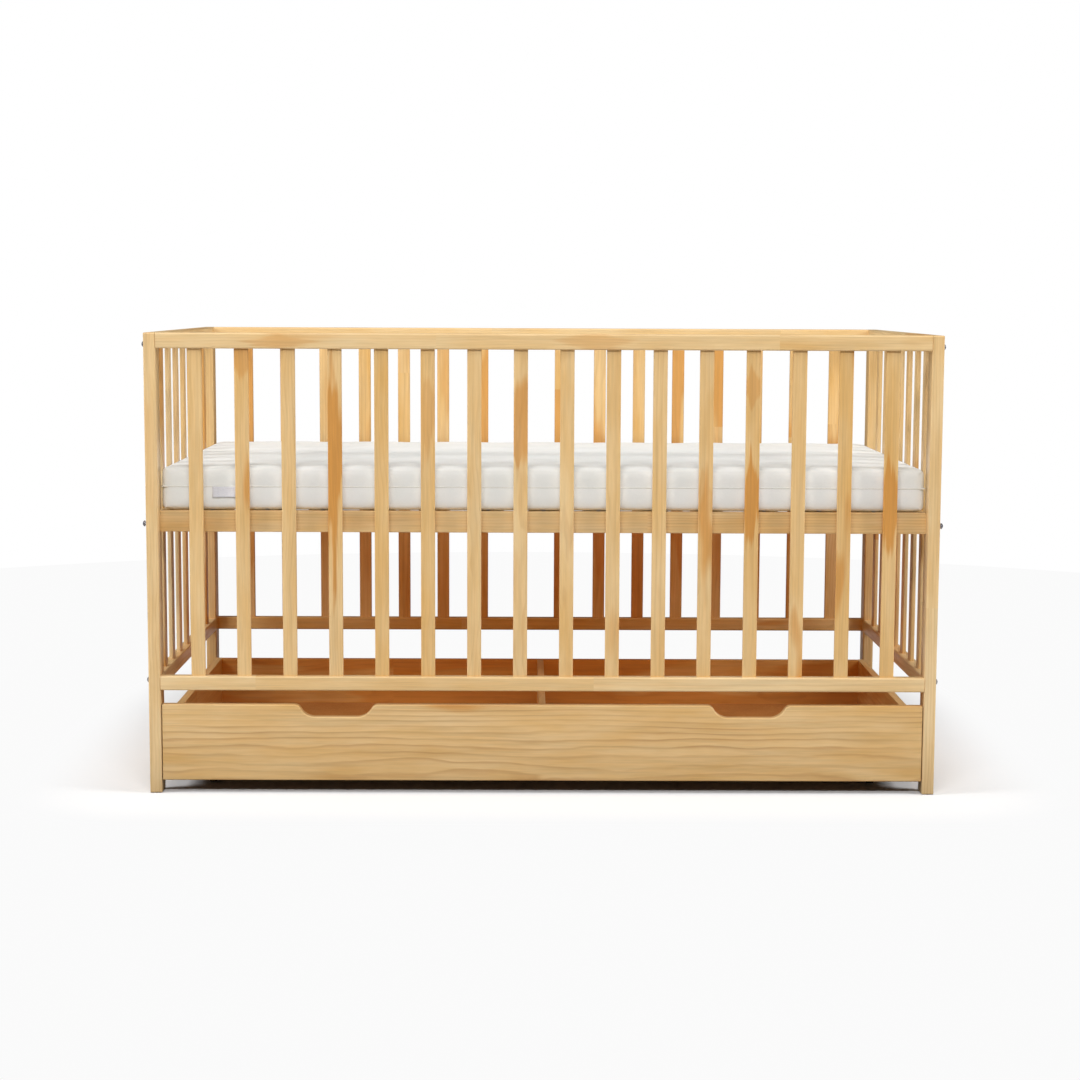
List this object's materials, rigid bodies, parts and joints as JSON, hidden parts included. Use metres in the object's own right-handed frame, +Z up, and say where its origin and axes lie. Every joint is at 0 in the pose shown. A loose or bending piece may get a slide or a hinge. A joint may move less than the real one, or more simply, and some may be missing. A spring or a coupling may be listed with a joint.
{
  "type": "baby crib",
  "caption": "Pine cot bed with fixed slatted sides, a mattress on a height-adjustable slatted base, and a divided drawer on castors with finger notches below.",
  "frame": {"origin": "on the floor, below the middle of the cot's footprint", "axes": "+X along the cot to its right end, +Y from the front side to the back side, +Z up"},
  "size_m": [1.4678, 0.752, 0.845],
  "materials": {
    "rail_pine": "satin lacquer",
    "slat_pine": "satin lacquer",
    "base_pine": "satin lacquer",
    "drawer_pine": "satin lacquer",
    "drawer_floor": "matt board",
    "dowel_beech": "plain",
    "zinc_steel": "zinc plated",
    "castor_plastic": "moulded",
    "mattress_fabric": "quilted jersey",
    "mattress_foam": "foam",
    "label_fabric": "woven tape"
  },
  "bodies": {
    "crib_frame": {"post_front_left": "rail_pine", "post_front_right": "rail_pine", "post_rear_left": "rail_pine", "post_rear_right": "rail_pine", "front_top_rail": "rail_pine", "front_bottom_rail": "rail_pine", "back_top_rail": "rail_pine", "back_bottom_rail": "rail_pine", "end_top_rail_left": "rail_pine", "end_top_rail_right": "rail_pine", "end_bottom_rail_left": "rail_pine", "end_bottom_rail_right": "rail_pine", "front_slat_1": "slat_pine", "front_slat_2": "slat_pine", "front_slat_3": "slat_pine", "front_slat_4": "slat_pine", "front_slat_5": "slat_pine", "front_slat_6": "slat_pine", "front_slat_7": "slat_pine", "front_slat_8": "slat_pine", "front_slat_9": "slat_pine", "front_slat_10": "slat_pine", "front_slat_11": "slat_pine", "front_slat_12": "slat_pine", "front_slat_13": "slat_pine", "front_slat_14": "slat_pine", "front_slat_15": "slat_pine", "front_slat_16": "slat_pine", "back_slats": "slat_pine", "end_slats_left": "slat_pine", "end_slats_right": "slat_pine", "base_rail_front": "base_pine", "base_rail_back": "base_pine", "base_end_rail_left": "base_pine", "base_end_rail_right": "base_pine", "base_slats": "base_pine", "side_rail_bolts": "zinc_steel", "base_bolts": "zinc_steel", "barrel_nuts": "zinc_steel", "base_slat_screws": "zinc_steel", "rail_dowels": "dowel_beech"},
    "mattress": {"mattress_cover": "mattress_fabric", "mattress_core": "mattress_foam", "mattress_label": "label_fabric"},
    "drawer": {"drawer_front": "drawer_pine", "drawer_side_left": "drawer_pine", "drawer_side_right": "drawer_pine", "drawer_back": "drawer_pine", "drawer_divider": "drawer_pine", "drawer_battens": "drawer_pine", "drawer_floor_left": "drawer_floor", "drawer_floor_right": "drawer_floor", "drawer_dowels": "dowel_beech", "drawer_screws": "zinc_steel", "castor_brackets": "zinc_steel", "castor_axles": "zinc_steel"},
    "castor_front_left": {"castor_wheel_front_left": "castor_plastic"},
    "castor_front_right": {"castor_wheel_front_right": "castor_plastic"},
    "castor_rear_left": {"castor_wheel_rear_left": "castor_plastic"},
    "castor_rear_right": {"castor_wheel_rear_right": "castor_plastic"}
  },
  "joints": [
    {"name": "mattress_lift", "type": "slide", "parent": "crib_frame", "child": "mattress", "axis": [0, 0, 1], "range_m": [0, 0.33]},
    {"name": "drawer_slide", "type": "slide", "parent": "crib_frame", "child": "drawer", "axis": [0, -1, 0], "range_m": [0, 0.6]},
    {"name": "castor_front_left_spin", "type": "hinge", "parent": "drawer", "child": "castor_front_left", "pos_m": [-0.62, -0.277, 0.015], "axis": [1, 0, 0], "continuous": true},
    {"name": "castor_front_right_spin", "type": "hinge", "parent": "drawer", "child": "castor_front_right", "pos_m": [0.62, -0.277, 0.015], "axis": [1, 0, 0], "continuous": true},
    {"name": "castor_rear_left_spin", "type": "hinge", "parent": "drawer", "child": "castor_rear_left", "pos_m": [-0.62, 0.191, 0.015], "axis": [1, 0, 0], "continuous": true},
    {"name": "castor_rear_right_spin", "type": "hinge", "parent": "drawer", "child": "castor_rear_right", "pos_m": [0.62, 0.191, 0.015], "axis": [1, 0, 0], "continuous": true}
  ],
  "couplings": [
    {"joint": "castor_front_left_spin", "follows": "drawer_slide", "rad_per_m": 66.667},
    {"joint": "castor_front_right_spin", "follows": "drawer_slide", "rad_per_m": 66.667},
    {"joint": "castor_rear_left_spin", "follows": "drawer_slide", "rad_per_m": 66.667},
    {"joint": "castor_rear_right_spin", "follows": "drawer_slide", "rad_per_m": 66.667}
  ]
}
